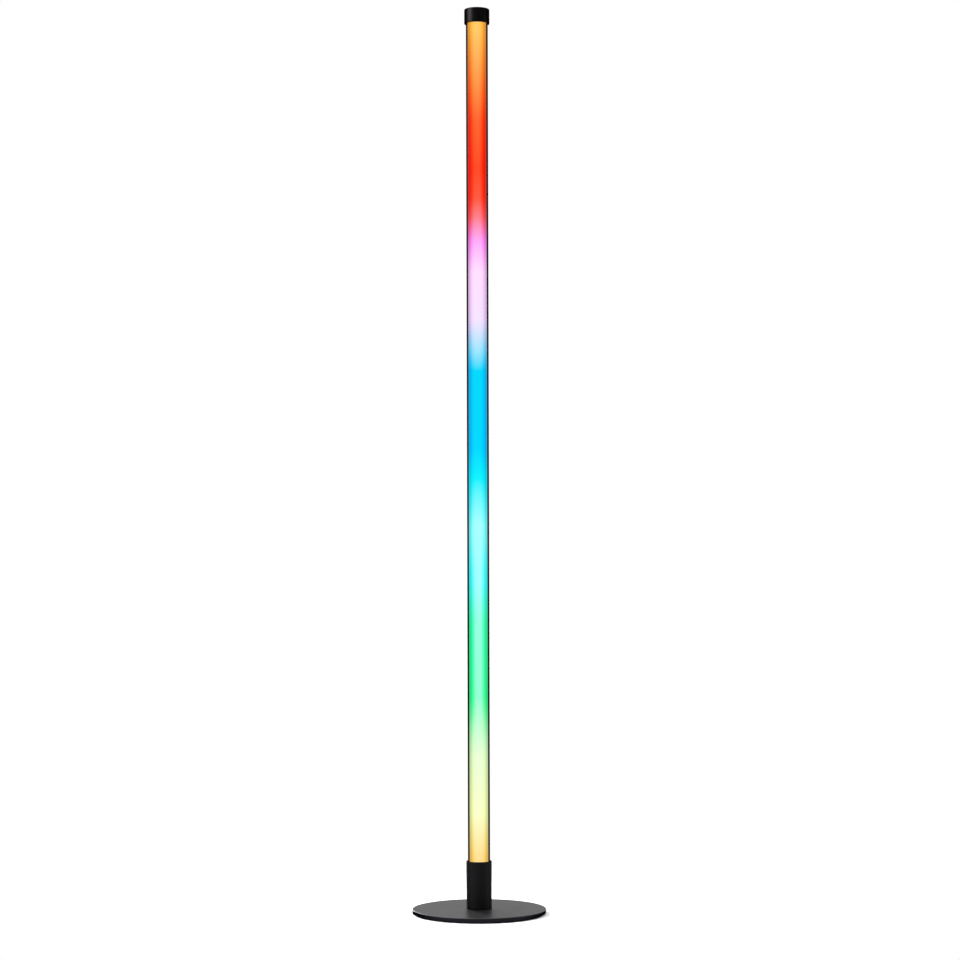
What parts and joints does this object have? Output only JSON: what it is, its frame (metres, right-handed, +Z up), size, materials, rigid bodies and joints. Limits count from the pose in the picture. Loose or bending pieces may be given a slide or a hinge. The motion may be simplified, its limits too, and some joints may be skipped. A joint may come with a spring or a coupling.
{
  "type": "corner floor lamp",
  "caption": "Slim round upright light pole on a disc base, with a full-length opal front that glows in a vertical rainbow gradient.",
  "frame": {"origin": "centre of the base pad's underside, on the floor", "axes": "+Z up along the pole, the lit front faces -Y, the power inlet and the button are at the back, +Y"},
  "size_m": [0.2, 0.2, 1.358],
  "materials": {
    "black_powder_coat": "fine satin powder coat on steel plate",
    "pad_rubber": "soft foamed rubber, matt",
    "zinc_steel": "zinc plated",
    "black_steel": "black oxide",
    "black_sleeve": "satin black anodised, drawn tube",
    "black_anodised": "satin black anodised, drawn profile",
    "plain_aluminium": "mill finish",
    "opal_diffuser": "opal, lit from behind in a vertical rainbow gradient",
    "white_circuit": "white solder mask",
    "light_package": "phosphor in a white package",
    "capacitor_ceramic": "fired ceramic with tinned ends",
    "wire_insulation": "soft insulation",
    "green_circuit": "green solder mask",
    "chip_plastic": "moulded, matt",
    "connector_nylon": "natural nylon",
    "inlet_plastic": "moulded black",
    "contact_brass": "plated brass",
    "button_plastic": "fine matt moulding",
    "cap_plastic": "fine satin moulding"
  },
  "bodies": {
    "lamp": {"base_disc": "black_powder_coat", "base_pad": "pad_rubber", "base_screw": "zinc_steel", "base_sleeve": "black_sleeve", "sleeve_foot_plug": "plain_aluminium", "sleeve_set_screws": "black_steel", "foot_insert": "plain_aluminium", "channel_lower": "black_anodised", "channel_middle": "black_anodised", "channel_upper": "black_anodised", "joiner_lower": "plain_aluminium", "joiner_upper": "plain_aluminium", "joiner_set_screws": "black_steel", "diffuser": "opal_diffuser", "light_strip": "white_circuit", "light_packages": "light_package", "strip_capacitors": "capacitor_ceramic", "strip_lead": "wire_insulation", "control_board": "green_circuit", "control_chip": "chip_plastic", "strip_connector": "connector_nylon", "inlet_body": "inlet_plastic", "inlet_pin": "contact_brass", "inlet_contact": "contact_brass", "switch_body": "inlet_plastic", "end_plate": "black_anodised", "end_plate_screws": "zinc_steel", "top_cap": "cap_plastic"},
    "button": {"mode_button": "button_plastic", "switch_plunger": "connector_nylon"}
  },
  "joints": [
    {"name": "button_press", "type": "slide", "parent": "lamp", "child": "button", "axis": [0, -1, 0], "range_m": [0, 0.0005], "stiffness_N_per_m": 2500, "springref_m": -0.0002}
  ]
}
